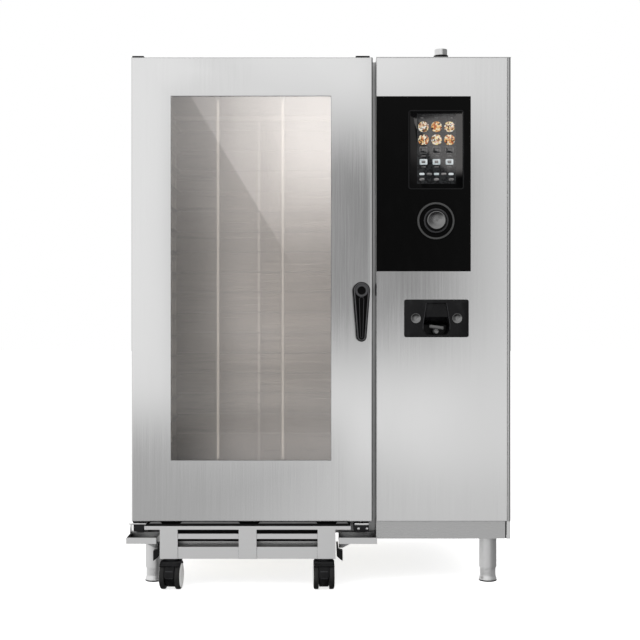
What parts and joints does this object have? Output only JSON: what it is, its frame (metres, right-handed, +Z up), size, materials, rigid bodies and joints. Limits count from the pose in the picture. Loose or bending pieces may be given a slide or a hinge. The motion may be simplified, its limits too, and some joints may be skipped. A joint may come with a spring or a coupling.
{
  "type": "roll-in combi steamer oven with rack trolley",
  "caption": "Tall floor-standing combi steam oven with a glazed side-hinged door, a control column with knob and screen, a retractable hand shower and a docked roll-in rack trolley.",
  "frame": {"origin": "on the floor, under the middle of the overall envelope (drip tray to side panel in X, front castor to rear connections in Y)", "axes": "+Z up, +X to the right seen from the front, front (door and controls) faces -Y"},
  "size_m": [1.299, 1.053, 1.847],
  "materials": {
    "stainless": "satin brushed",
    "stainless_shade": "satin brushed, darker",
    "cavity_steel": "polished, slightly heat-tinted",
    "frame_steel": "satin",
    "wool": "matt mineral wool",
    "rubber": "matt",
    "dark_metal": "satin",
    "polished_steel": "polished",
    "grey_plastic": "satin",
    "panel_black": "gloss black glass look",
    "screen_black": "gloss",
    "board_green": "circuit board",
    "black_plastic": "satin moulded",
    "black_metal": "satin black",
    "glass": "clear, slightly warm",
    "lamp": "diffuser",
    "dark_plastic": "satin",
    "castor_tread": "matt"
  },
  "bodies": {
    "cabinet": {"base_frame": "frame_steel", "feet": "frame_steel", "chamber": "cavity_steel", "insulation": "wool", "service_bulkhead": "frame_steel", "front_frame": "stainless", "door_gasket": "rubber", "left_side_panel": "stainless", "right_side_panel": "stainless", "rear_panel": "stainless", "roof_panel": "stainless", "column_front": "stainless", "plinth": "stainless_shade", "fan_baffle": "cavity_steel", "heating_coils": "dark_metal", "fan_motors": "dark_metal", "steam_generator": "polished_steel", "service_connections": "polished_steel", "drain_pipe": "grey_plastic", "exhaust_pipe": "polished_steel", "control_panel": "panel_black", "touchscreen": "screen_black", "control_board": "board_green", "dock_plate": "black_plastic", "hinge_brackets": "black_metal", "latch_strikes": "black_metal", "drip_tray": "stainless", "docking_guides": "black_plastic"},
    "door": {"door_skin": "stainless", "door_liner": "stainless", "outer_glass": "glass", "inner_glass": "glass", "glass_clips": "stainless", "door_lamps": "lamp", "hinge_bushes": "black_plastic"},
    "handle": {"door_handle": "black_plastic"},
    "upper_latch": {"upper_latch_rod": "polished_steel"},
    "lower_latch": {"lower_latch_rod": "polished_steel"},
    "selector_stem": {"selector_shaft": "polished_steel"},
    "selector": {"selector_knob": "dark_plastic"},
    "upper_fan_wheel": {"upper_fan": "polished_steel"},
    "lower_fan_wheel": {"lower_fan": "polished_steel"},
    "shower": {"hand_shower": "dark_plastic"},
    "shower_trigger": {"shower_lever": "dark_plastic"},
    "reel": {"hose_reel": "grey_plastic"},
    "trolley": {"trolley_chassis": "stainless", "rack_frame": "cavity_steel", "tray_runners": "cavity_steel", "rack_drip_pan": "stainless"},
    "tray_gate": {"tray_stop": "cavity_steel"},
    "castor_fl_fork": {"castor_fl": "black_plastic"},
    "wheels_fl_pair": {"wheels_fl": "castor_tread"},
    "brake_fl": {"brake_pedal_fl": "black_plastic"},
    "castor_fr_fork": {"castor_fr": "black_plastic"},
    "wheels_fr_pair": {"wheels_fr": "castor_tread"},
    "brake_fr": {"brake_pedal_fr": "black_plastic"},
    "castor_rl_fork": {"castor_rl": "black_plastic"},
    "wheels_rl_pair": {"wheels_rl": "castor_tread"},
    "castor_rr_fork": {"castor_rr": "black_plastic"},
    "wheels_rr_pair": {"wheels_rr": "castor_tread"}
  },
  "joints": [
    {"name": "door_swing", "type": "hinge", "parent": "cabinet", "child": "door", "pos_m": [-0.6255, -0.41847, 1], "axis": [0, 0, -1], "range_deg": [0, 120]},
    {"name": "handle_turn", "type": "hinge", "parent": "door", "child": "handle", "pos_m": [0.1405, -0.43847, 1.002], "axis": [0, 1, 0], "range_deg": [0, 90]},
    {"name": "upper_latch_slide", "type": "slide", "parent": "door", "child": "upper_latch", "axis": [0, 0, -1], "range_m": [0, 0.0142]},
    {"name": "lower_latch_slide", "type": "slide", "parent": "door", "child": "lower_latch", "axis": [0, 0, 1], "range_m": [0, 0.0142]},
    {"name": "selector_push", "type": "slide", "parent": "cabinet", "child": "selector_stem", "axis": [0, 1, 0], "range_m": [0, 0.0015], "stiffness_N_per_m": 2000, "springref_m": -0.0005},
    {"name": "selector_turn", "type": "hinge", "parent": "selector_stem", "child": "selector", "pos_m": [0.394, -0.43847, 1.239], "axis": [0, 1, 0], "continuous": true},
    {"name": "upper_fan_spin", "type": "hinge", "parent": "cabinet", "child": "upper_fan_wheel", "pos_m": [0.2225, -0.00847, 1.368], "axis": [1, 0, 0], "continuous": true},
    {"name": "lower_fan_spin", "type": "hinge", "parent": "cabinet", "child": "lower_fan_wheel", "pos_m": [0.2225, -0.00847, 0.632], "axis": [1, 0, 0], "continuous": true},
    {"name": "shower_pull", "type": "slide", "parent": "cabinet", "child": "shower", "axis": [0, -1, 0], "range_m": [0, 0.25]},
    {"name": "shower_press", "type": "hinge", "parent": "shower", "child": "shower_trigger", "pos_m": [0.39781, -0.39247, 0.87687], "axis": [0.9903, 0, -0.1392], "range_deg": [0, 8]},
    {"name": "reel_turn", "type": "hinge", "parent": "cabinet", "child": "reel", "pos_m": [0.396, -0.11847, 0.784], "axis": [1, 0, 0], "range_deg": [0, 190]},
    {"name": "trolley_roll", "type": "slide", "parent": "cabinet", "child": "trolley", "axis": [0, -1, 0], "range_m": [0, 0.025]},
    {"name": "tray_stop_lift", "type": "slide", "parent": "trolley", "child": "tray_gate", "axis": [0, 0, 1], "range_m": [0, 0.012]},
    {"name": "castor_fl_swivel", "type": "hinge", "parent": "trolley", "child": "castor_fl_fork", "pos_m": [-0.4965, -0.45647, 0.085], "axis": [0, 0, 1], "continuous": true},
    {"name": "wheels_fl_spin", "type": "hinge", "parent": "castor_fl_fork", "child": "wheels_fl_pair", "pos_m": [-0.49804, -0.47841, 0.046], "axis": [0.9976, -0.0698, 0], "continuous": true},
    {"name": "brake_fl_lift", "type": "hinge", "parent": "castor_fl_fork", "child": "brake_fl", "pos_m": [-0.49999, -0.50635, 0.066], "axis": [-0.9976, 0.0698, 0], "range_deg": [0, 15]},
    {"name": "castor_fr_swivel", "type": "hinge", "parent": "trolley", "child": "castor_fr_fork", "pos_m": [0.0135, -0.45647, 0.085], "axis": [0, 0, 1], "continuous": true},
    {"name": "wheels_fr_spin", "type": "hinge", "parent": "castor_fr_fork", "child": "wheels_fr_pair", "pos_m": [0.01388, -0.47846, 0.046], "axis": [0.9998, 0.0175, 0], "continuous": true},
    {"name": "brake_fr_lift", "type": "hinge", "parent": "castor_fr_fork", "child": "brake_fr", "pos_m": [0.01437, -0.50646, 0.066], "axis": [-0.9998, -0.0175, 0], "range_deg": [0, 15]},
    {"name": "castor_rl_swivel", "type": "hinge", "parent": "trolley", "child": "castor_rl_fork", "pos_m": [-0.4415, 0.20153, 0.085], "axis": [0, 0, 1], "continuous": true},
    {"name": "wheels_rl_spin", "type": "hinge", "parent": "castor_rl_fork", "child": "wheels_rl_pair", "pos_m": [-0.4392, 0.17965, 0.046], "axis": [0.9945, 0.1045, 0], "continuous": true},
    {"name": "castor_rr_swivel", "type": "hinge", "parent": "trolley", "child": "castor_rr_fork", "pos_m": [-0.0415, 0.20153, 0.085], "axis": [0, 0, 1], "continuous": true},
    {"name": "wheels_rr_spin", "type": "hinge", "parent": "castor_rr_fork", "child": "wheels_rr_pair", "pos_m": [-0.04303, 0.17959, 0.046], "axis": [0.9976, -0.0698, 0], "continuous": true}
  ],
  "couplings": [
    {"joint": "upper_latch_slide", "follows": "handle_turn", "m_per_rad": 0.009},
    {"joint": "lower_latch_slide", "follows": "handle_turn", "m_per_rad": 0.009},
    {"joint": "reel_turn", "follows": "shower_pull", "rad_per_m": 12.658}
  ]
}
